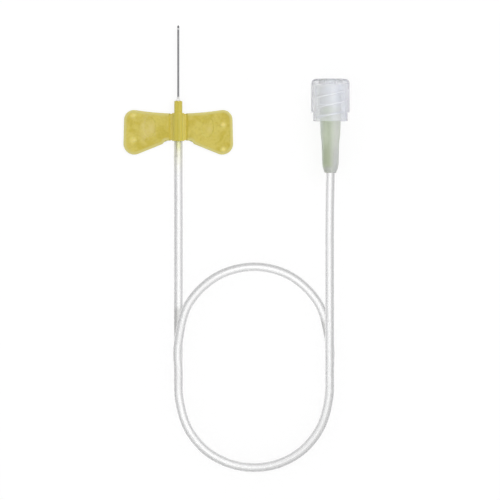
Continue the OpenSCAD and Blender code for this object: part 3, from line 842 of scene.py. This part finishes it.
route = np.array(tube_route, float) * MM
spread = np.vstack([2 * route[0] - route[1], route, 2 * route[-1] - route[-2]])
middle = []
for i in range(len(route) - 1):
    p0, p1, p2, p3 = spread[i:i + 4]
    for k in range(steps_per_span):
        t = k / steps_per_span
        middle.append(0.5 * (2 * p1 + (p2 - p0) * t + (2 * p0 - 5 * p1 + 4 * p2 - p3) * t * t
                             + (3 * p1 - p0 - 3 * p2 + p3) * t ** 3))
middle.append(route[-1])
middle = np.array(middle)
along = np.gradient(middle, axis=0)
along /= np.linalg.norm(along, axis=1)[:, None]
travelled = np.concatenate([[0], np.cumsum(np.linalg.norm(np.diff(middle, axis=0), axis=1))])
sideways = np.cross(along, (0, 0, 1))
sideways /= np.linalg.norm(sideways, axis=1)[:, None]
upwards = np.cross(sideways, along)

tube_shape = bmesh.new()
layer = tube_shape.loops.layers.uv.new("along_and_round")
walls = []
for radius in (tube_outer_r, tube_inner_r):
    rings = []
    for i, centre in enumerate(middle):
        ring = []
        for k in range(tube_sides):
            a = 2 * math.pi * k / tube_sides
            ring.append(tube_shape.verts.new(
                centre + radius * MM * (math.cos(a) * sideways[i] + math.sin(a) * upwards[i])
            ))
        rings.append(ring)
    walls.append(rings)


def strip(first, second, first_u, second_u, flip):
    """Faces between two rings, with their place along and round the tube."""
    for k in range(tube_sides):
        m = (k + 1) % tube_sides
        corners = [(first[k], first_u, k), (second[k], second_u, k), (second[m], second_u, k + 1), (first[m], first_u, k + 1)]
        if flip:
            corners.reverse()
        face = tube_shape.faces.new([c[0] for c in corners])
        for loop, corner in zip(face.loops, corners):
            loop[layer].uv = (corner[1] / 0.01, corner[2] / tube_sides)


for number, rings in enumerate(walls):
    for i in range(len(middle) - 1):
        strip(rings[i], rings[i + 1], travelled[i], travelled[i + 1], number == 0)
strip(walls[0][0], walls[1][0], 0, 0, False)
strip(walls[0][-1], walls[1][-1], travelled[-1], travelled[-1], True)
bmesh.ops.recalc_face_normals(tube_shape, faces=tube_shape.faces)
tube_mesh = bpy.data.meshes.new("clear_tube")
tube_shape.to_mesh(tube_mesh)
tube_shape.free()
tube_mesh.shade_smooth()
tube_mesh.set_sharp_from_angle(angle=math.radians(40))
tube = new_object("clear_tube", tube_mesh)

tube_clear, tree, shader = clear_plastic(
    "clear_tube_plastic", (0.97, 0.97, 0.975, 1), 0.03, 1.5, (0.97, 0.97, 0.97, 1)
)
# Painted shade: light that has run along the wall comes out grey beside the outline, in a wider band on the outer side
# of the coil, where the wall is thicker, and that grey is painted into the colour. Only the wall that is seen first
# has this tint.
lines = add_node(tree, "ShaderNodeUVMap", uv_map="along_and_round")
round_the_tube = add_node(tree, "ShaderNodeSeparateXYZ")
whole_turn = add_node(tree, "ShaderNodeMath", operation="MULTIPLY", i1=2 * math.pi)
outwards = add_node(tree, "ShaderNodeMath", operation="COSINE")
tree.links.new(lines.outputs[0], round_the_tube.inputs[0])
tree.links.new(round_the_tube.outputs["Y"], whole_turn.inputs[0])
tree.links.new(whole_turn.outputs[0], outwards.inputs[0])
wall_seen = steepness(tree)
bands = []
for steps in (
    ((0.0, 0.03, 0.93), (0.02, 0.12, 0.58), (0.1, 0.3, 0.38), (0.4, 0.75, 0.6)),
    ((0.0, 0.03, 0.62), (0.03, 0.12, 0.42), (0.1, 0.28, 0.31), (0.4, 0.75, 0.5)),
):
    shade = (0.99, 0.99, 0.99, 1)
    for from_steep, to_steep, grey in steps:
        share = ramp_number(tree, wall_seen, from_steep, to_steep, 0.0, 1.0)
        shade = mix_colours(tree, share, shade, (grey, grey, grey * 1.01, 1))
    bands.append(shade)
outer_side = ramp_number(tree, outwards.outputs[0], 0.0, 0.3, 0.0, 1.0)
tube_shade = mix_colours(tree, outer_side, bands[0], bands[1])
# Painted light: near the hub the wall is tinted yellow, for light coloured by the hub and spigot.
near_the_hub = ramp_number(tree, round_the_tube.outputs["X"], 0.25, 0.95, 1.0, 0.0)
tube_shade = mix_colours(tree, near_the_hub, tube_shade, (0.97, 0.96, 0.72, 1), "MULTIPLY")
# Each strand is in the shade just where it runs in under another. The places are in points of the route.
for shade_from, shade_to in ((5.1, 5.9), (18.1, 18.7)):
    begins, ends = (travelled[int(at * steps_per_span)] / 0.01 for at in (shade_from, shade_to))
    in_the_shade = add_node(tree, "ShaderNodeMath", operation="MULTIPLY")
    under = ramp_number(tree, round_the_tube.outputs["X"], begins, begins + 0.2, 0.0, 1.0)
    out_again = ramp_number(tree, round_the_tube.outputs["X"], ends - 0.2, ends, 1.0, 0.0)
    tree.links.new(under, in_the_shade.inputs[0])
    tree.links.new(out_again, in_the_shade.inputs[1])
    tube_shade = mix_colours(tree, in_the_shade.outputs[0], tube_shade, (0.62, 0.62, 0.6, 1), "MULTIPLY")
rays = add_node(tree, "ShaderNodeLightPath")
tube_shade = mix_colours(tree, rays.outputs["Is Camera Ray"], (1, 1, 1, 1), tube_shade)
tree.links.new(tube_shade, shader.inputs["Base Color"])
drawn_out = add_node(tree, "ShaderNodeMapping")
drawn_out.inputs["Scale"].default_value = (0.3, 14.0, 1.0)
die_lines = add_node(tree, "ShaderNodeTexNoise", scale=1.0, detail=2.0)
tree.links.new(lines.outputs[0], drawn_out.inputs["Vector"])
tree.links.new(drawn_out.outputs[0], die_lines.inputs["Vector"])
tree.links.new(ramp_number(tree, die_lines.outputs["Fac"], 0.3, 0.7, 0.02, 0.07), shader.inputs["Roughness"])
add_bump(tree, die_lines.outputs["Fac"], 0.01 * MM, 0.15, shader)
tube_mesh.materials.append(tube_clear)
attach(tube, "root")
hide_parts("tube")

low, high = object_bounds()
